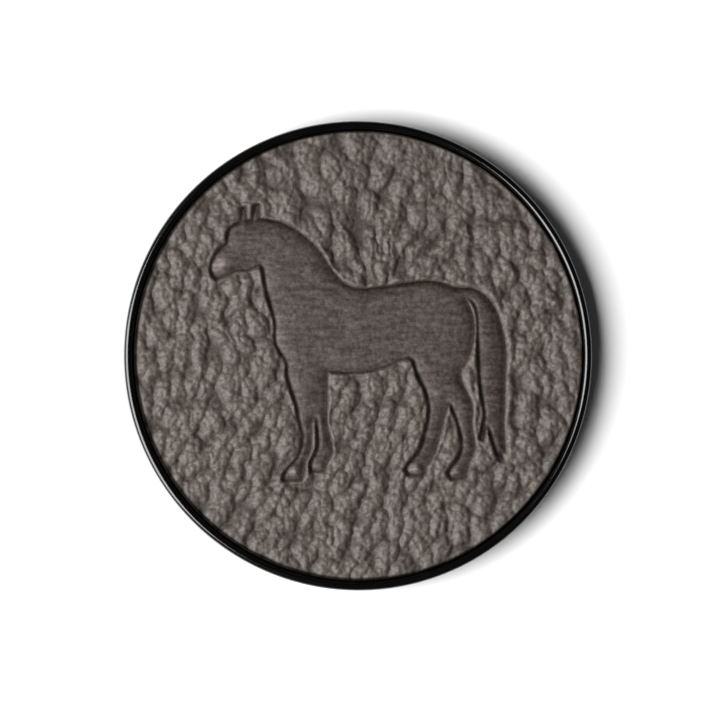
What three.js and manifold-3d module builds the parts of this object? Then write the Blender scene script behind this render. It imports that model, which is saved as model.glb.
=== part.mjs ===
// Round medallion with a leather face: a black bezel that holds a leather disc, with a standing horse
// pressed into the leather. Millimetres, +Z up. It lies on its back, and the origin is the middle of
// that flat back. Seen from above, +Y is the top of the picture and the horse looks towards -X.

import * as THREE from 'three';
import { LoftGeometry } from 'three/addons/geometries/LoftGeometry.js';
import { mergeVertices } from 'three/addons/utils/BufferGeometryUtils.js';
import Module from 'manifold-3d';

// Bezel: a shallow round tray with a rounded rim.
const outerDiameter = 45;
const rimWidth = 0.8;
const rimFloor = 1;
const lipRise = 0.35; // the rim's crown above the leather
const crownHeight = 0.5; // the rounded part of the rim
const backChamfer = 0.3;

// Leather disc, laid in the tray.
const leatherThickness = 2;
const leatherClearance = 0.15; // between the disc and the rim, all round
const leatherEdgeRadius = 0.25;

// The pressed horse.
const horseMargin = 3.5; // leather left plain outside the farthest point of the horse
const pressDepth = 0.6; // from the leather's face to the bottom of the groove round the horse
const bodyRise = 0.35; // how far the horse's body swells out of the groove

// Fineness of the round shapes.
const roundSegments = 96;
const crownSteps = 8;
const edgeSteps = 3;
const swellSteps = 8;
const swellPower = 2.8; // 2 is an ellipse, more is a flatter middle
const endPower = 8;
const leastEnd = 0.2; // width and height that a swell keeps at its two ends, as a share

const outerRadius = outerDiameter / 2;
const pocketRadius = outerRadius - rimWidth;
const leatherRadius = pocketRadius - leatherClearance;
const leatherTop = rimFloor + leatherThickness;
const overallHeight = leatherTop + lipRise;

// The horse is drawn in hundredths of its own height: x from the middle of its length, y up from the
// ground. Each part of it lies between two edges, smooth curves that start and end side by side.
const discCentreHeight = 45.6; // the height on the horse that lies on the middle of the disc
const wallShare = 0.94; // how far the pressed wall leans between the face and the groove
const grooveShare = 0.38; // width of the flat bottom of the groove
const spacingShare = 0.19; // points of an outline nearer than this count as one

const body = {
  steps: 46,
  edges: [
    // poll, crest, withers, back, croup, buttock
    [[-43, 93.5], [-38.7, 94.4], [-33.6, 94.7], [-24.9, 92], [-16.2, 85.5], [-9.3, 76.1], [-5.3, 71.7],
      [-0.3, 69.6], [8.4, 70.3], [19.3, 71.9], [27.3, 72.3], [33.8, 70.5], [38.9, 65.9], [41.6, 59.8],
      [42.1, 54.7]],
    // throat, breast, elbow, belly, flank, thigh, buttock
    [[-43.7, 84.4], [-37.2, 82.2], [-34.7, 76.4], [-33.6, 69.9], [-30.3, 57.6], [-30.3, 50.7],
      [-27.4, 45.1], [-22.7, 39.5], [-11.5, 39.9], [-2.4, 39.3], [7.7, 40.9], [18.9, 44.6], [28, 37.3],
      [37.1, 40.9], [40.7, 47.5], [42.1, 54.7]],
  ],
};

const head = {
  steps: 18,
  edges: [
    // crest, poll, forehead, brow, nose, nostril, lips, chin
    [[-32.9, 94.7], [-37.9, 94.6], [-42.6, 93.8], [-45.9, 92.2], [-47.4, 88.8], [-47.7, 86.1], [-51, 83],
      [-53.4, 78.3], [-53, 75], [-51.2, 73.1]],
    // neck, throat, cheek, jaw, chin
    [[-24.9, 82.2], [-31.4, 79.7], [-35.8, 78.3], [-39.4, 76.4], [-43.7, 76.1], [-47.4, 74.5],
      [-51.2, 73.1]],
  ],
};

// A leg runs from the shoulder or thigh through knee or hock, cannon and fetlock to the sole.
const nearForeleg = {
  steps: 20,
  edges: [
    [[-22.7, 51.1], [-26, 41.7], [-24.9, 34.8], [-22.7, 28.3], [-21.6, 22.1], [-20.2, 15.6], [-22, 9.1],
      [-25.3, 5.4], [-27.1, 2.9], [-27.2, 0.5]],
    [[-12.6, 51.1], [-14.7, 34.8], [-15.7, 26.4], [-16.9, 20.7], [-17.3, 12], [-19.5, 7.2], [-19.5, 4],
      [-20.5, 0.7]],
  ],
};

const offForeleg = {
  steps: 18,
  edges: [
    [[-16.9, 51.1], [-16.7, 33], [-16.4, 26.4], [-15.1, 20.7], [-14.7, 12.7], [-16.9, 8], [-17.5, 5.1],
      [-17.1, 3.6]],
    [[-11.1, 51.1], [-11.3, 33], [-11.3, 20.3], [-9.3, 11.2], [-11.1, 8], [-11.7, 5.4], [-12.4, 4]],
  ],
};

const nearHindLeg = {
  steps: 20,
  edges: [
    [[17.9, 56.5], [19.5, 45.3], [21.5, 38.4], [24.4, 32.6], [25.5, 25], [23.8, 16.7], [21.8, 10.9],
      [17.9, 6.5], [16.8, 4], [18.2, 2.5]],
    [[39.6, 56.5], [36, 38.4], [31.6, 25.4], [29.5, 17], [27.3, 10.1], [24.7, 6.2], [24.2, 2.9]],
  ],
};

const offHindLeg = {
  steps: 20,
  edges: [
    [[26.6, 54.7], [32, 32.2], [34.9, 23.9], [37.2, 16.3], [36.7, 9.8], [33.3, 5.1], [32.2, 2.5],
      [33.4, 1.1]],
    [[41.4, 54.7], [37.1, 39.9], [38.2, 34.4], [41.1, 28.3], [41.1, 19.9], [42.3, 12.3], [40, 6.5],
      [39.1, 1.8]],
  ],
};

// The tail runs from inside the croup, over the dock and down.
const tail = {
  steps: 22,
  edges: [
    [[31.6, 66.7], [37.4, 66.7], [41.1, 65.2], [42.9, 60.1], [43.3, 49.3], [43.9, 36.6], [45.4, 26.4],
      [46.1, 20.7]],
    [[29.5, 71.7], [36, 69.9], [41.8, 69.7], [47.6, 65.6], [51.2, 58.7], [53.4, 47.5], [53, 34.8],
      [52.6, 20.7]],
  ],
};

// Ears, and the three locks that end the tail, are too narrow to swell.
const nearEar = {
  steps: 6,
  edges: [[[-43, 91.7], [-42.6, 95.7], [-42.1, 98.9]], [[-39.4, 91.7], [-40.5, 95.7], [-40.8, 98.9]]],
};

const offEar = {
  steps: 6,
  edges: [[[-39.4, 91.7], [-38.2, 96], [-37.4, 100]], [[-34.3, 91.7], [-35.6, 96], [-35.9, 100]]],
};

const innerLock = {
  steps: 8,
  edges: [[[44.3, 32.2], [45.6, 24.6], [43.9, 15.7]], [[48.3, 32.2], [47, 23.2], [45.2, 15.1]]],
};

const middleLock = {
  steps: 8,
  edges: [[[45.8, 32.2], [47, 19.9], [51.3, 7.2]], [[50.8, 32.2], [50.3, 19.9], [52.6, 7.7]]],
};

const outerLock = {
  steps: 8,
  edges: [[[49, 32.2], [50.8, 19.6], [51.9, 10.9]], [[52.9, 32.2], [52.7, 19.6], [53.3, 10.9]]],
};

const swollenParts = [body, head, nearForeleg, offForeleg, nearHindLeg, offHindLeg, tail];
const narrowParts = [nearEar, offEar, innerLock, middleLock, outerLock];
const horseParts = [...swollenParts, ...narrowParts];

// The horse is made as large as the disc and the plain margin allow.
const farthestReach = Math.max(
  ...horseParts.flatMap(({ edges }) => edges.flat()).map(([x, y]) => Math.hypot(x, y - discCentreHeight)),
);
const horseUnit = (leatherRadius - horseMargin) / farthestReach;
const wallRun = wallShare * horseUnit;
const grooveWidth = grooveShare * horseUnit;
const leastSpacing = spacingShare * horseUnit;

const wasm = await Module();
wasm.setup();

// A closed geometry as a solid that can be cut and joined.
function toSolid(geometry) {
  const bare = new THREE.BufferGeometry();
  bare.setAttribute('position', geometry.attributes.position);
  bare.setIndex(geometry.index);
  const merged = mergeVertices(bare);
  const corners = merged.index.array;
  const kept = [];
  for (let i = 0; i < corners.length; i += 3) {
    const [a, b, c] = corners.slice(i, i + 3);
    if (a !== b && b !== c && c !== a) kept.push(a, b, c);
  }
  return new wasm.Manifold(new wasm.Mesh({
    numProp: 3,
    vertProperties: new Float32Array(merged.attributes.position.array),
    triVerts: new Uint32Array(kept),
  }));
}

function toGeometry(solid) {
  const { vertProperties, triVerts } = solid.getMesh();
  const geometry = new THREE.BufferGeometry();
  geometry.setAttribute('position', new THREE.BufferAttribute(new Float32Array(vertProperties), 3));
  geometry.setIndex(new THREE.BufferAttribute(new Uint32Array(triVerts), 1));
  geometry.computeVertexNormals();
  return geometry;
}

// A profile of [radius, height] pairs turned round the Z axis.
function turned(profile) {
  const points = profile.map(([radius, height]) => new THREE.Vector2(radius, height));
  return new THREE.LatheGeometry(points, roundSegments).rotateX(Math.PI / 2);
}

// Points on a quarter or half ellipse, from one angle to another.
function arc(centreRadius, centreHeight, semiWidth, semiHeight, from, to, steps) {
  return Array.from({ length: steps + 1 }, (_, i) => {
    const angle = from + (to - from) * i / steps;
    return [centreRadius + semiWidth * Math.cos(angle), centreHeight + semiHeight * Math.sin(angle)];
  });
}

function bezelGeometry() {
  const crownFoot = overallHeight - crownHeight;
  return turned([
    [0, 0],
    [outerRadius - backChamfer, 0],
    [outerRadius, backChamfer],
    ...arc(outerRadius - rimWidth / 2, crownFoot, rimWidth / 2, crownHeight, 0, Math.PI, crownSteps),
    [pocketRadius, rimFloor],
    [0, rimFloor],
  ]);
}

function plainDiscGeometry() {
  return turned([
    [0, rimFloor],
    [leatherRadius, rimFloor],
    ...arc(leatherRadius - leatherEdgeRadius, leatherTop - leatherEdgeRadius,
      leatherEdgeRadius, leatherEdgeRadius, 0, Math.PI / 2, edgeSteps),
    [0, leatherTop],
  ]);
}

// Both edges of a part of the horse, as evenly spaced points on the disc. trim is cut off each end.
function edgePoints({ steps, edges }, trim) {
  return edges.map((landmarks) => {
    const curve = new THREE.SplineCurve(landmarks.map(([x, y]) => (
      new THREE.Vector2(x * horseUnit, (y - discCentreHeight) * horseUnit)
    )));
    const start = trim / curve.getLength();
    return Array.from({ length: steps + 1 }, (_, i) => (
      curve.getPointAt(THREE.MathUtils.lerp(start, 1 - start, i / steps))
    ));
  });
}

// What the die takes out for one part: its outline, with a wall that leans outwards to the face.
function pressedPart(part) {
  const [first, second] = edgePoints(part, 0);
  const ring = [...first, ...second.reverse()];
  const outline = ring.filter((point, i) => point.distanceTo(ring[(i + 1) % ring.length]) > leastSpacing);
  const geometry = new THREE.ExtrudeGeometry(new THREE.Shape(outline), {
    depth: pressDepth,
    bevelThickness: pressDepth,
    bevelSize: wallRun,
    bevelOffset: -wallRun / 2,
    bevelSegments: 1,
  });
  return toSolid(geometry.translate(0, 0, leatherTop));
}

// The swell of one part between its edges, rounded off all round and rooted below the groove.
function swellOfPart(part) {
  const inset = wallRun / 2 + grooveWidth;
  const grooveBottom = leatherTop - pressDepth;
  const [first, second] = edgePoints(part, inset);
  const clockwise = THREE.ShapeUtils.isClockWise([...first, ...second.toReversed()]);
  const sections = first.map((start, i) => {
    const middle = start.clone().lerp(second[i], 0.5);
    const half = second[i].clone().sub(start).multiplyScalar(0.5);
    const along = Math.abs(2 * i / part.steps - 1);
    const end = Math.max((1 - along ** endPower) ** (1 / endPower), leastEnd);
    half.setLength(Math.max(half.length() - inset, inset) * end);
    const corner = (across, height) => new THREE.Vector3(
      middle.x + half.x * across,
      middle.y + half.y * across,
      grooveBottom + height,
    );
    const arch = Array.from({ length: swellSteps + 1 }, (_, j) => {
      const angle = Math.PI * j / swellSteps;
      const across = -Math.sign(Math.cos(angle)) * Math.abs(Math.cos(angle)) ** (2 / swellPower);
      return corner(across, bodyRise * end * Math.sin(angle) ** (2 / swellPower));
    });
    const section = [...arch, corner(1, -bodyRise), corner(-1, -bodyRise)];
    return clockwise ? section : section.reverse();
  });
  return toSolid(new LoftGeometry(sections, { capStart: true, capEnd: true }));
}

function leatherGeometry() {
  const pressed = horseParts.map(pressedPart).reduce((joined, part) => joined.add(part));
  const swells = swollenParts.map(swellOfPart).reduce((joined, part) => joined.add(part));
  return toGeometry(toSolid(plainDiscGeometry()).subtract(pressed.subtract(swells)));
}

const blackEnamel = new THREE.MeshStandardMaterial({ color: 0x08080a, roughness: 0.22, metalness: 0.1 });
const greyLeather = new THREE.MeshStandardMaterial({ color: 0x5f5752, roughness: 0.72, metalness: 0 });

const bezel = new THREE.Mesh(bezelGeometry(), blackEnamel);
bezel.name = 'bezel';

const leatherInlay = new THREE.Mesh(leatherGeometry(), greyLeather);
leatherInlay.name = 'leather_inlay';

const medallion = new THREE.Group();
medallion.add(bezel, leatherInlay);

export default medallion;
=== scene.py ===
import math

import bmesh
import bpy
import numpy as np
from mathutils import Matrix, Vector
from mathutils.bvhtree import BVHTree
from mathutils.kdtree import KDTree


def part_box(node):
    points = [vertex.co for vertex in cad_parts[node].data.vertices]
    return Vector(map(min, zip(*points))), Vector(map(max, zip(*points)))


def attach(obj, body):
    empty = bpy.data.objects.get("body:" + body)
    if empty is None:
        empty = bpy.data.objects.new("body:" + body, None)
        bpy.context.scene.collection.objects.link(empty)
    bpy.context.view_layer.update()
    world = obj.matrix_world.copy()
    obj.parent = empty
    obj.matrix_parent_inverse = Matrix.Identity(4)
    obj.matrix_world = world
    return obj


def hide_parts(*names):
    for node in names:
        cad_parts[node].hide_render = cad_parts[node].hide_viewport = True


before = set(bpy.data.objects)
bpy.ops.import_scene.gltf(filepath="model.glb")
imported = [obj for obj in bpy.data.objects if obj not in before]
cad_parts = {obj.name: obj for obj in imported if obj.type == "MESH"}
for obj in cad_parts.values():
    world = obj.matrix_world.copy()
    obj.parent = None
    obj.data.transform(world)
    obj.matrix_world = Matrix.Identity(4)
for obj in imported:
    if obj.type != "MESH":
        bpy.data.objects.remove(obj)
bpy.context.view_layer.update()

MM = 0.001


# Camera. A long lens looks down on the face of the lying medallion, five degrees off the upright
# towards the lower left, with the top of the horse's head towards the top of the picture.
FRAME_WIDTH = 68.31 * MM  # what the picture spans on the leather's face
AIM = Vector((-0.192, -0.084, 3.0)) * MM
LENS, FILM_WIDTH = 500, 36
LEAN = math.radians(5)
LEAN_TOWARDS = Vector((-0.97, -0.24, 0)).normalized()

outward = Vector((0, 0, 1)) * math.cos(LEAN) + LEAN_TOWARDS * math.sin(LEAN)
sideways = Vector((0, 1, 0)).cross(outward).normalized()
upwards = outward.cross(sideways)
camera_data = bpy.data.cameras.new("face_camera")
camera_data.lens = LENS
camera_data.sensor_width = FILM_WIDTH
camera_data.clip_start = 0.01
camera_data.clip_end = 10
face_camera = bpy.data.objects.new("face_camera", camera_data)
bpy.context.scene.collection.objects.link(face_camera)
placing = Matrix((sideways, upwards, outward)).transposed().to_4x4()
placing.translation = AIM + outward * FRAME_WIDTH * LENS / FILM_WIDTH
face_camera.matrix_world = placing
bpy.context.scene.camera = face_camera


# Bezel. The real piece is a shallow round metal tray, turned and coated in glossy black enamel. Its
# wall stands a little above the leather and ends in a rounded crown; its flat back is what it lies on.
RIM_WIDTH = 0.8 * MM
TRAY_FLOOR = 1.0 * MM
CROWN_RADIUS, CROWN_STEPS = 0.385 * MM, 8
BACK_ROUND, BACK_STEPS = 0.3 * MM, 5
RIM_SEGMENTS = 360
TOUCHING = 0.001 * MM  # places closer than this are the same


def pick_faces(mesh_object, wanted):
    """Selects in edit mode only the faces whose middle and normal are wanted."""
    bpy.ops.mesh.select_all(action="DESELECT")
    shape = bmesh.from_edit_mesh(mesh_object.data)
    for face in shape.faces:
        if wanted(face.calc_center_median(), face.normal):
            face.select_set(True)
    bmesh.update_edit_mesh(mesh_object.data)


def pick_edges(mesh_object, wanted):
    """Selects in edit mode only the edges whose two ends are wanted."""
    bpy.ops.mesh.select_all(action="DESELECT")
    shape = bmesh.from_edit_mesh(mesh_object.data)
    for edge in shape.edges:
        if wanted(edge.verts[0].co, edge.verts[1].co):
            edge.select_set(True)
    bmesh.update_edit_mesh(mesh_object.data)


def on_crown(a, b):
    """Whether an edge runs round the inner or the outer corner of the rim's top."""
    return min(a.z, b.z) > rim_top - TOUCHING and abs(a.xy.length - b.xy.length) < TOUCHING


bezel_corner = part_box("bezel")[1]
rim_radius, rim_top = bezel_corner.x, bezel_corner.z
bpy.ops.object.select_all(action="DESELECT")
bpy.ops.mesh.primitive_cylinder_add(
    vertices=RIM_SEGMENTS, radius=rim_radius, depth=rim_top, location=(0, 0, rim_top / 2)
)
bezel_tray = bpy.context.object
bezel_tray.name = "bezel_tray"
bpy.ops.object.transform_apply(location=True, rotation=True, scale=True)
# The inside is sunk from the top, and an inset ring round each flat keeps its shading flat.
bpy.ops.object.mode_set(mode="EDIT")
bpy.ops.mesh.select_mode(type="FACE")
pick_faces(bezel_tray, lambda middle, normal: normal.z > 0.9)
bpy.ops.mesh.inset(thickness=RIM_WIDTH)
bpy.ops.mesh.extrude_region_move(TRANSFORM_OT_translate={"value": (0, 0, TRAY_FLOOR - rim_top)})
bpy.ops.mesh.inset(thickness=RIM_WIDTH)
bpy.ops.mesh.select_mode(type="EDGE")
pick_edges(bezel_tray, on_crown)
bpy.ops.mesh.bevel(offset=CROWN_RADIUS, segments=CROWN_STEPS, profile=0.5, affect="EDGES")
pick_edges(bezel_tray, lambda a, b: max(a.z, b.z) < TOUCHING)
bpy.ops.mesh.bevel(offset=BACK_ROUND, segments=BACK_STEPS, profile=0.5, affect="EDGES")
bpy.ops.mesh.select_mode(type="FACE")
pick_faces(bezel_tray, lambda middle, normal: normal.z < -0.999)
bpy.ops.mesh.inset(thickness=RIM_WIDTH)
bpy.ops.object.mode_set(mode="OBJECT")
bpy.ops.object.shade_smooth_by_angle(angle=math.radians(40))

enamel = bpy.data.materials.new("black_enamel")
enamel.use_nodes = True
nodes, links = enamel.node_tree.nodes, enamel.node_tree.links
gloss = nodes["Principled BSDF"]
gloss.inputs["IOR"].default_value = 1.5
place = nodes.new("ShaderNodeTexCoord")
cloudy = nodes.new("ShaderNodeTexNoise")
cloudy.inputs["Scale"].default_value = 260
cloudy.inputs["Detail"].default_value = 4
tint = nodes.new("ShaderNodeValToRGB")
tint.color_ramp.elements[0].color = (0.0003, 0.0003, 0.0003, 1)
tint.color_ramp.elements[1].color = (0.0010, 0.0009, 0.0009, 1)
polish = nodes.new("ShaderNodeMapRange")
polish.inputs["To Min"].default_value = 0.10
polish.inputs["To Max"].default_value = 0.22
hairlines = nodes.new("ShaderNodeTexNoise")
hairlines.inputs["Scale"].default_value = 2600
hairlines.inputs["Detail"].default_value = 3
ripple = nodes.new("ShaderNodeBump")
ripple.inputs["Strength"].default_value = 0.25
ripple.inputs["Distance"].default_value = 0.00001
links.new(place.outputs["Object"], cloudy.inputs["Vector"])
links.new(place.outputs["Object"], hairlines.inputs["Vector"])
links.new(cloudy.outputs["Fac"], tint.inputs["Fac"])
links.new(cloudy.outputs["Fac"], polish.inputs["Value"])
links.new(hairlines.outputs["Fac"], ripple.inputs["Height"])
links.new(tint.outputs["Color"], gloss.inputs["Base Color"])
links.new(polish.outputs["Result"], gloss.inputs["Roughness"])
links.new(ripple.outputs["Normal"], gloss.inputs["Normal"])
bezel_tray.data.materials.append(enamel)
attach(bezel_tray, "root")
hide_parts("bezel")


# Leather face. The real piece is a 2 mm disc of coarse pebbled, grey-brown milled leather, glued into
# the tray. A heated die has pressed the horse into it: smooth floor, sharp groove, rounded shoulders.
RING_COUNT = 174  # rings of points that carry the grain
EDGE_ROUND = 0.1 * MM
HORSE_REACH = 0.95  # the horse stays inside this share of the disc's radius
WALL_RUN = 0.26 * MM  # how far the pressed wall leans in on its way down
GROOVE_DEPTH = 0.47 * MM
SHOULDER_DROP = 0.12 * MM
LIP_HEIGHT = 0.08 * MM
FLOOR_SWELL = 0.34 * MM
SWELL_ROUNDS, WALL_ROUNDS = 25, 2  # how often the swell and the wall are evened
LOWEST_PIT = 0.31  # in mm, as deep as the hide's creases go
UNDER_CROWN = 0.08 * MM  # how far the highest pebble stays below the rim
leather_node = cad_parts["leather_inlay"]
leather_low, leather_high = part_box("leather_inlay")
disc_radius, disc_top, disc_back = leather_high.x, leather_high.z, leather_low.z
flat_radius = disc_radius - EDGE_ROUND
ring_step = flat_radius / RING_COUNT

# The top edge of the pressed outline, walked in short steps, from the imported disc.
WALK_STEP = 0.02 * MM
ON_EDGE = 0.000001 * MM  # points closer to the outline than this lie on it
pressed = bmesh.new()
pressed.from_mesh(leather_node.data)
bmesh.ops.remove_doubles(pressed, verts=pressed.verts, dist=TOUCHING / 10)
walked = []
for edge in pressed.edges:
    a, b = (vertex.co for vertex in edge.verts)
    level = min(a.z, b.z) > disc_top - TOUCHING and a.xy.length < HORSE_REACH * flat_radius
    if level and len({face.normal.z > 0.99 for face in edge.link_faces}) == 2:
        steps = max(1, round((b - a).length / WALK_STEP))
        walked += [a.lerp(b, i / steps) for i in range(steps)]
outline = KDTree(len(walked))
for i, point in enumerate(walked):
    outline.insert(point, i)
outline.balance()
packed_disc = BVHTree.FromBMesh(pressed)
pressed.free()

# Points for the face in rings of 6, 12, 18 and so on, three sided like a honeycomb, so that the last
# ring is the disc's own edge.
across = np.arange(-RING_COUNT, RING_COUNT + 1)
columns, rows = np.meshgrid(across, across)
ring = np.maximum(np.maximum(np.abs(columns), np.abs(rows)), np.abs(columns + rows))
turn = np.arctan2(rows * math.sqrt(0.75), columns + 0.5 * rows)
past_corner = turn % (math.pi / 3)
share = np.sin(past_corner) / (np.sin(past_corner) + np.sin(math.pi / 3 - past_corner))
turn += share * math.pi / 3 - past_corner
number = np.arange(ring.size).reshape(ring.shape)
corners = (number[:-1, :-1], number[:-1, 1:], number[1:, :-1], number[1:, 1:])
a, b, c, d = (corner.ravel() for corner in corners)
triangles = np.concatenate([np.stack([a, b, c], 1), np.stack([b, d, c], 1)])
on_disc = (ring.ravel()[triangles] <= RING_COUNT).all(1)
used, triangles = np.unique(triangles[on_disc], return_inverse=True)
triangles = triangles.reshape(-1, 3)
ring, turn = ring.ravel()[used], turn.ravel()[used]
x, y = ring * ring_step * np.cos(turn), ring * ring_step * np.sin(turn)
sides = np.concatenate([triangles[:, [0, 1]], triangles[:, [1, 2]], triangles[:, [2, 0]]])
sides = np.unique(np.sort(sides, 1), axis=0)
side_count = np.bincount(sides.ravel(), minlength=used.size)


def evened(values):
    """The average of each point's neighbours."""
    total = np.bincount(sides[:, 0], values[sides[:, 1]], used.size)
    return (total + np.bincount(sides[:, 1], values[sides[:, 0]], used.size)) / side_count


depth_in = np.zeros(used.size)  # how far inside the pressed outline, less than 0 outside it
nearest_x, nearest_y = np.zeros(used.size), np.zeros(used.size)
for i in range(used.size):
    edge_point, _, away = outline.find(Vector((x[i], y[i], disc_top)))
    hit = packed_disc.ray_cast(Vector((x[i], y[i], 2 * disc_top)), Vector((0, 0, -1)))[0]
    inside = hit is not None and hit.z < disc_top - TOUCHING and ring[i] < HORSE_REACH * RING_COUNT
    depth_in[i] = away if inside else -away
    nearest_x[i], nearest_y[i] = edge_point.x, edge_point.y
off_edge = np.abs(depth_in) > ON_EDGE
to_wall_x, to_wall_y = (
    np.where(off_edge, offset / np.where(off_edge, np.abs(depth_in), 1), 0)
    for offset in (nearest_x - x, nearest_y - y)
)

# Points near the top and the foot of the pressed wall move onto them, so the wall has clean edges.
for line in (0, WALL_RUN):
    off_line = depth_in - line
    near_line = (np.abs(off_line) < 0.35 * ring_step) & (np.abs(depth_in) > ON_EDGE)
    move = np.where(near_line, off_line / np.where(near_line, depth_in, 1), 0)
    x = x - (x - nearest_x) * move
    y = y - (y - nearest_y) * move
    depth_in = np.where(near_line, line, depth_in)


def bell(value, middle, width):
    """1 at the middle, falling away smoothly on both sides."""
    return np.exp(-((value - middle) / width) ** 2)


def soft_step(value, middle, run):
    """0 well below the middle and 1 well above it."""
    return 0.5 + 0.5 * np.tanh((value - middle) / run)


def ramp(value, start, run):
    """0 up to the start, then rising evenly to 1 over the run."""
    return np.clip((value - start) / run, 0, 1)


def rolling(across, along, size, seed):
    """Smooth random heights, about -1 to 1, whose hills are as wide as size."""
    turns = np.random.default_rng(seed).uniform(0, 2 * np.pi, (64, 64))
    u, v = across / size, along / size
    i, j = np.floor(u).astype(int), np.floor(v).astype(int)
    u, v = u - i, v - j
    ease_u, ease_v = (t ** 3 * (t * (6 * t - 15) + 10) for t in (u, v))
    slopes = {}
    for di in (0, 1):
        for dj in (0, 1):
            turn = turns[(i + di) % 64, (j + dj) % 64]
            slopes[di, dj] = np.cos(turn) * (u - di) + np.sin(turn) * (v - dj)
    low = slopes[0, 0] + ease_u * (slopes[1, 0] - slopes[0, 0])
    high = slopes[0, 1] + ease_u * (slopes[1, 1] - slopes[0, 1])
    return 1.5 * (low + ease_v * (high - low))


def hide_lean(across, along):
    """How far the long way of the grain leans to the left of upright, in radians."""
    upper = soft_step(along, 0, 6 * MM)
    right = soft_step(across, 10 * MM, 3 * MM)
    left_of_fan = bell(across, -4 * MM, 6 * MM)
    right_of_fan = bell(across, 6.5 * MM, 3.5 * MM)
    upper_lean = 0.65 * left_of_fan - 0.45 * right_of_fan + 0.4 * right
    lower_lean = 0.25 * right - 0.15 * bell(across, -2 * MM, 8 * MM)
    return upper * upper_lean + (1 - upper) * lower_lean + 0.25 * rolling(across, along, 7 * MM, 11)


def pebbles(across, along, width, length, softness, seed, lean_at=hide_lean):
    """Heights of rounded pebbles with creases between them, with a mean of 0 and a spread of 1."""
    chances = np.random.default_rng(seed).random((128, 128, 4))
    stray, own_lean, own_size = 0.85, 0.8, 0.12
    i, j = np.floor(across / width).astype(int), np.floor(along / length).astype(int)
    total = np.zeros(across.shape)
    for di in range(-2, 3):
        for dj in range(-2, 3):
            chance = chances[(i + di) % 128, (j + dj) % 128]
            middle_x = (i + di + 0.5 + stray * (chance[..., 0] - 0.5)) * width
            middle_y = (j + dj + 0.5 + stray * (chance[..., 1] - 0.5)) * length
            lean = lean_at(middle_x, middle_y) + own_lean * (chance[..., 2] - 0.5)
            side = (across - middle_x) * np.cos(lean) + (along - middle_y) * np.sin(lean)
            ahead = (along - middle_y) * np.cos(lean) - (across - middle_x) * np.sin(lean)
            away = (side / width) ** 2 + (ahead / length) ** 2 + own_size * chance[..., 3]
            total = total + np.exp(-away / softness)
    heights = np.log(total)
    return (heights - heights.mean()) / heights.std()


# Coarse pebbles lie on a bent grid, so no row of them is straight, and their rows slant more and more
# towards the bottom of the disc.
bent_x = x + 0.30 * MM * rolling(x, y, 2.2 * MM, 1) + 0.22 * MM * rolling(x, y, 0.9 * MM, 2)
bent_y = y + 0.30 * MM * rolling(x, y, 2.2 * MM, 3) + 0.22 * MM * rolling(x, y, 0.9 * MM, 4)
below_middle = 2 * MM * np.logaddexp(0, -bent_y / (2 * MM))
pebble = pebbles(bent_x + 0.35 * below_middle, bent_y, 1.4 * MM, 2.1 * MM, 0.035, 5)

# Above the horse the pebbles and some long folds fan out from a point in the middle of its body.
fan_x, fan_y = bent_x - 1.5 * MM, bent_y - 1 * MM
fan_turn, fan_reach = np.arctan2(fan_x, fan_y), np.hypot(fan_x, fan_y)
in_fan = np.exp(-((x - 0.5 * MM) / (10 * MM)) ** 4) * soft_step(y, 8 * MM, 1.5 * MM)
fanned = pebbles(13 * MM * fan_turn, fan_reach, 1.8 * MM, 2.8 * MM, 0.035, 15, lambda across, along: 0)
pebble = ((1 - in_fan) * pebble + in_fan * fanned) / np.hypot(in_fan, 1 - in_fan)
folds = in_fan * bell(rolling(12 * MM * fan_turn, fan_reach / 5, 2.2 * MM, 36), 0, 0.13)

# Small pebbles and still finer crumbs cover all of it. Heights are in mm up to the last line.
granules = pebbles(x + 0.15 * MM * rolling(x, y, 0.6 * MM, 13), y, 0.60 * MM, 0.70 * MM, 0.045, 6)
lumps = 0.03 * rolling(bent_x, bent_y / 1.25, 0.58 * MM, 8) + 0.036 * granules
crumbs = 0.035 * rolling(x, y / 1.25, 0.34 * MM, 9)
grain = (0.135 + 0.02 * in_fan) * pebble + 0.05 * rolling(bent_x, bent_y / 1.5, 1.0 * MM, 7) - 0.10 * folds
grain = grain + lumps + crumbs
grain = (0.05 * np.logaddexp(0, (grain + LOWEST_PIT) / 0.05) - LOWEST_PIT) * MM

# The grain fades towards the press and the rim, and is all but gone on the pressed floor.
right_side = np.clip(0.5 - 0.7 * to_wall_x, 0, 1)
beside_tail = right_side * (x > 9.5 * MM)
outside = ramp(-depth_in, 0, (0.24 + 0.05 * right_side + 0.45 * beside_tail) * MM)
from_rim = ramp(flat_radius - np.hypot(x, y), 0, 0.5 * MM)
grain_left = np.where(depth_in > 0, 0.05, 0.25 + 0.75 * outside) * (0.4 + 0.6 * from_rim)

# Beside the press the leather bends down in a rounded shoulder behind a smooth lip. Both are widest to
# the right of the tail, and the lip is lowest at the ears.
off_ears = 1 - 0.8 * bell(np.hypot(x + 10.5 * MM, y - 14 * MM), 0, 1.3 * MM)
lip_place = (0.18 + 0.22 * beside_tail) * MM
lip_width = (0.13 + 0.22 * beside_tail) * MM
lip = LIP_HEIGHT * off_ears * (1 + 0.2 * beside_tail) * bell(-depth_in, lip_place, lip_width)
shoulder_width = (0.05 + 0.03 * right_side + 0.12 * beside_tail) * MM
shoulder = SHOULDER_DROP * np.exp(np.minimum(depth_in, 0) / shoulder_width) - lip
down_wall = ramp(depth_in, 0, WALL_RUN)
wall = shoulder + (GROOVE_DEPTH - SHOULDER_DROP) * down_wall * (2 - down_wall)

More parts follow.
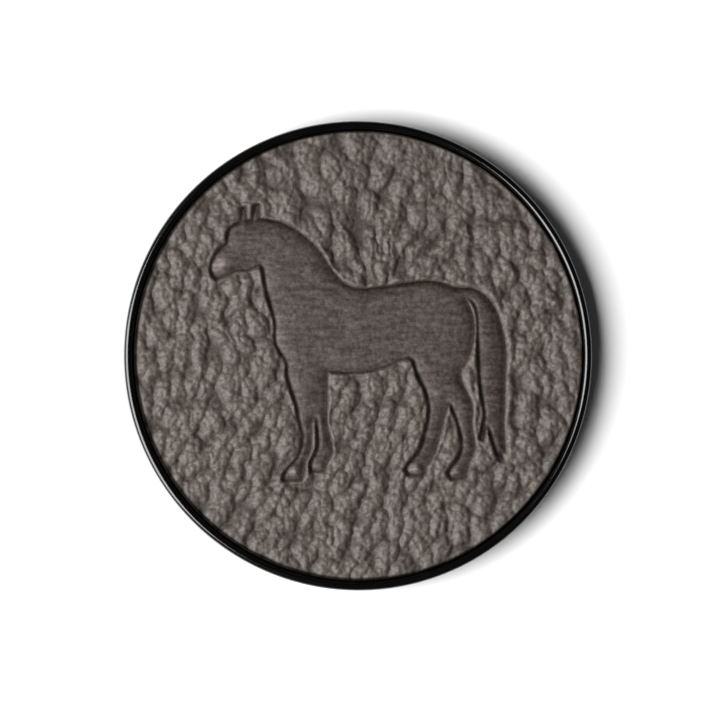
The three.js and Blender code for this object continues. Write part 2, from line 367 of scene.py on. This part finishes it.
# The pressed floor swells out of the groove, steeply beside a wall on its left, slowly beside one on its
# right, and in small domes: their place, width and height in mm at the muzzle and the four hooves.
DOMES = (
    (-12.8, 8.8, 0.8, 0.20),
    (-6.0, -11.1, 0.45, 0.26),
    (-3.6, -10.6, 0.4, 0.10),
    (5.7, -10.8, 0.45, 0.26),
    (9.6, -11.1, 0.45, 0.18),
)
past_foot = np.maximum(depth_in - WALL_RUN, 0)
swell_reach = (0.30 + 0.30 * np.clip(0.4 + 0.8 * to_wall_x, 0, 1)) * MM
cushion = FLOOR_SWELL * (1 - np.exp(-past_foot / swell_reach))
for _ in range(SWELL_ROUNDS):
    cushion = np.where(past_foot > 0.3 * MM, evened(cushion), cushion)
dome_highlight = np.zeros(used.size)
for dome_x, dome_y, dome_width, dome_height in DOMES:
    from_dome = np.hypot(x - dome_x * MM, y - dome_y * MM)
    # painted highlight: each dome is lighter on its left, the side towards the lamp
    from_lit_side = np.hypot(x - (dome_x - 0.4) * MM, y - dome_y * MM)
    cushion += dome_height * MM * bell(from_dome, 0, dome_width * MM) * ramp(depth_in, 0, 0.25 * MM)
    dome_highlight += 5 * dome_height * bell(from_lit_side, 0, dome_width * MM)
relief = cushion - wall
for _ in range(WALL_ROUNDS):
    relief = np.where(np.abs(depth_in) < 0.7 * MM, 0.5 * relief + 0.5 * evened(relief), relief)
floor_bumps = np.where(past_foot > 0, 0.15 * lumps + 0.2 * crumbs, 0) * MM
height = disc_top + grain * grain_left + relief + floor_bumps
height = np.minimum(height, rim_top - UNDER_CROWN)

# How much of each colour mark a point has. The creases get painted shade. The floor beside walls on its
# right and its top gets painted shade, the groove most, and the tail is darker too. The domes get a
# painted highlight on their left, and the edge next to the rim is darkened: a dark-dyed cut edge with a
# painted shadow of the rim.
in_tail = ramp(x, 11.2 * MM, 0.7 * MM) * ramp(depth_in, 0, 0.4 * MM)
finishes = {
    # painted shade: the creases between pebbles and the folds are coloured darker
    "crease_shade": np.clip(np.clip(-0.5 * pebble, 0, 0.8) + 0.8 * folds, 0, 1) * outside,
    "pressed": ramp(depth_in, 0.3 * WALL_RUN, 0.2 * MM),
    # painted shade at the foot of the pressed wall; the tail is darker as well
    "groove_shade_and_tail": bell(depth_in, 0.17 * MM, 0.15 * MM) + 0.36 * in_tail,
    # painted shade on the pressed floor beside walls on its right and its top, the sides turned from the
    # lamp
    "side_shade": ramp(depth_in, 0, 0.08 * MM) * np.exp(-past_foot / (0.32 * MM))
    * np.clip(0.4 + 0.4 * to_wall_x + 0.5 * to_wall_y, 0, 1),
    # painted highlight on the left of the domes
    "dome_highlight": np.clip(dome_highlight, 0, 1) * ramp(past_foot, 0, 0.04 * MM),
    # dark band at the leather's edge next to the rim: a dark-dyed cut edge and a painted shadow of the
    # rim, widest on the left
    "rim_shadow_and_edge_dye": ramp(np.hypot(x - 0.1 * MM, y - 0.05 * MM), flat_radius - 0.192 * MM, 0.16 * MM),
}
face_mesh = bpy.data.meshes.new("leather_face")
face_mesh.from_pydata(np.stack([x, y, height], 1).tolist(), [], triangles.tolist())
for name, amount in finishes.items():
    face_mesh.attributes.new(name, "FLOAT", "POINT").data.foreach_set("value", amount)
leather_face = bpy.data.objects.new("leather_face", face_mesh)
bpy.context.scene.collection.objects.link(leather_face)
bpy.ops.object.select_all(action="DESELECT")
leather_face.select_set(True)
bpy.context.view_layer.objects.active = leather_face

# The cut edge: rounded over at the top, straight down to the flat back, and closed there.
bpy.ops.object.mode_set(mode="EDIT")
bpy.ops.mesh.select_mode(type="EDGE")
bpy.ops.mesh.select_all(action="DESELECT")
bpy.ops.mesh.select_non_manifold()
reached = flat_radius
for angle in (30, 60, 90):
    wanted = flat_radius + EDGE_ROUND * math.sin(math.radians(angle))
    widening = wanted / reached
    bpy.ops.mesh.extrude_edges_move()
    bpy.ops.transform.resize(value=(widening, widening, 0.6), center_override=(0, 0, disc_top))
    bpy.ops.transform.translate(value=(0, 0, -EDGE_ROUND / 3))
    reached = wanted
bpy.ops.mesh.extrude_edges_move()
bpy.ops.transform.resize(value=(1, 1, 0), center_override=(0, 0, disc_back))
bpy.ops.mesh.edge_face_add()
bpy.ops.object.mode_set(mode="OBJECT")
bpy.ops.object.shade_smooth_by_angle(angle=math.radians(60))

hide = bpy.data.materials.new("grey_brown_leather")
hide.use_nodes = True
nodes, links = hide.node_tree.nodes, hide.node_tree.links
skin = nodes["Principled BSDF"]
skin.inputs["IOR"].default_value = 1.45
place = nodes.new("ShaderNodeTexCoord")
dye = nodes.new("ShaderNodeTexNoise")
dye.inputs["Scale"].default_value = 2600
dye.inputs["Detail"].default_value = 3
dye.inputs["Roughness"].default_value = 0.65
links.new(place.outputs["Object"], dye.inputs["Vector"])
dyed = nodes.new("ShaderNodeValToRGB")
dyed.color_ramp.elements[0].position = 0.34
dyed.color_ramp.elements[0].color = (0.0465, 0.0375, 0.0321, 1)
dyed.color_ramp.elements[1].position = 0.66
dyed.color_ramp.elements[1].color = (0.0860, 0.0713, 0.0612, 1)
links.new(dye.outputs["Fac"], dyed.inputs["Fac"])
colour = dyed.outputs["Color"]
for name, shade in (
    # painted shade in the creases
    ("crease_shade", (0.56, 0.53, 0.515, 1)),
    ("pressed", (0.86, 0.815, 0.845, 1)),
    # painted shade in the groove, and a darker tail
    ("groove_shade_and_tail", (0.48, 0.44, 0.42, 1)),
    # painted shade on the floor beside walls on its right and top
    ("side_shade", (0.36, 0.31, 0.29, 1)),
    # painted highlight on the domes' left
    ("dome_highlight", (1.75, 1.80, 1.80, 1)),
    # dark-dyed cut edge and painted shadow of the rim
    ("rim_shadow_and_edge_dye", (0.08, 0.075, 0.07, 1)),
):
    amount = nodes.new("ShaderNodeAttribute")
    amount.attribute_name = name
    shaded = nodes.new("ShaderNodeMix")
    shaded.data_type = "RGBA"
    shaded.blend_type = "MULTIPLY"
    links.new(amount.outputs["Fac"], shaded.inputs["Factor"])
    links.new(colour, shaded.inputs["A"])
    shaded.inputs["B"].default_value = shade
    colour = shaded.outputs["Result"]
# The die was wiped sideways, and its floor keeps faint streaks of that.
streak_place = nodes.new("ShaderNodeMapping")
streak_place.inputs["Scale"].default_value = (0.27, 1, 1)
links.new(place.outputs["Object"], streak_place.inputs["Vector"])
streaks = nodes.new("ShaderNodeTexNoise")
streaks.inputs["Scale"].default_value = 2100
streaks.inputs["Detail"].default_value = 3
links.new(streak_place.outputs["Vector"], streaks.inputs["Vector"])
streaked = nodes.new("ShaderNodeValToRGB")
streaked.color_ramp.elements[0].position = 0.36
streaked.color_ramp.elements[0].color = (0.60, 0.59, 0.58, 1)
streaked.color_ramp.elements[1].position = 0.64
streaked.color_ramp.elements[1].color = (1, 1, 1, 1)
links.new(streaks.outputs["Fac"], streaked.inputs["Fac"])
pressed_amount = nodes.new("ShaderNodeAttribute")
pressed_amount.attribute_name = "pressed"
wiped = nodes.new("ShaderNodeMix")
wiped.data_type = "RGBA"
wiped.blend_type = "MULTIPLY"
links.new(pressed_amount.outputs["Fac"], wiped.inputs["Factor"])
links.new(colour, wiped.inputs["A"])
links.new(streaked.outputs["Color"], wiped.inputs["B"])
links.new(wiped.outputs["Result"], skin.inputs["Base Color"])
# What is dark is dull too.
dull = nodes.new("ShaderNodeMapRange")
dull.inputs["From Max"].default_value = 0.07
dull.inputs["To Max"].default_value = 0.5
links.new(wiped.outputs["Result"], dull.inputs["Value"])
links.new(dull.outputs["Result"], skin.inputs["Specular IOR Level"])
sheen_patches = nodes.new("ShaderNodeMapRange")
sheen_patches.inputs["To Min"].default_value = 0.45
sheen_patches.inputs["To Max"].default_value = 0.65
links.new(dye.outputs["Fac"], sheen_patches.inputs["Value"])
links.new(sheen_patches.outputs["Result"], skin.inputs["Roughness"])
pores = nodes.new("ShaderNodeTexNoise")
pores.inputs["Scale"].default_value = 4200
pores.inputs["Detail"].default_value = 3
links.new(place.outputs["Object"], pores.inputs["Vector"])
pore_relief = nodes.new("ShaderNodeBump")
pore_relief.inputs["Strength"].default_value = 0.5
pore_relief.inputs["Distance"].default_value = 0.00006
links.new(pores.outputs["Fac"], pore_relief.inputs["Height"])
links.new(pore_relief.outputs["Normal"], skin.inputs["Normal"])
leather_face.data.materials.append(hide)
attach(leather_face, "root")
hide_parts("leather_inlay")


# Table and light. A plain pale table top, one large soft lamp on the left, and a dim room.
TABLE_SIZE = 4
TABLE_GAP = 0.02 * MM
LAMP_SIZE = 0.36
LAMP_DISTANCE = 0.40
LAMP_OFF_UPRIGHT = math.radians(43)
LAMP_TURN = math.radians(194)

bpy.ops.object.select_all(action="DESELECT")
bpy.ops.mesh.primitive_plane_add(size=TABLE_SIZE, location=(0, 0, -TABLE_GAP))
table_top = bpy.context.object
table_top.name = "table_top"
paper = bpy.data.materials.new("pale_paper")
paper.use_nodes = True
nodes, links = paper.node_tree.nodes, paper.node_tree.links
paper_face = nodes["Principled BSDF"]
paper_face.inputs["Roughness"].default_value = 0.9
paper_face.inputs["Specular IOR Level"].default_value = 0.1
place = nodes.new("ShaderNodeTexCoord")
fibres = nodes.new("ShaderNodeTexNoise")
fibres.inputs["Scale"].default_value = 30
links.new(place.outputs["Object"], fibres.inputs["Vector"])
paper_tint = nodes.new("ShaderNodeValToRGB")
paper_tint.color_ramp.elements[0].color = (0.80, 0.80, 0.80, 1)
paper_tint.color_ramp.elements[1].color = (0.83, 0.83, 0.83, 1)
links.new(fibres.outputs["Fac"], paper_tint.inputs["Fac"])
links.new(paper_tint.outputs["Color"], paper_face.inputs["Base Color"])
table_top.data.materials.append(paper)

lamp_data = bpy.data.lights.new("soft_lamp", "AREA")
lamp_data.shape = "SQUARE"
lamp_data.size = LAMP_SIZE
lamp_data.energy = 4.9
soft_lamp = bpy.data.objects.new("soft_lamp", lamp_data)
bpy.context.scene.collection.objects.link(soft_lamp)
towards_lamp = Vector((
    math.sin(LAMP_OFF_UPRIGHT) * math.cos(LAMP_TURN),
    math.sin(LAMP_OFF_UPRIGHT) * math.sin(LAMP_TURN),
    math.cos(LAMP_OFF_UPRIGHT),
))
soft_lamp.location = towards_lamp * LAMP_DISTANCE
soft_lamp.rotation_euler = towards_lamp.to_track_quat("Z", "Y").to_euler()
room = bpy.data.worlds.new("dim_room")
room.use_nodes = True
room.node_tree.nodes["Background"].inputs["Color"].default_value = (1, 1, 1, 1)
room.node_tree.nodes["Background"].inputs["Strength"].default_value = 0.04
bpy.context.scene.world = room
bpy.context.scene.view_settings.view_transform = "Standard"
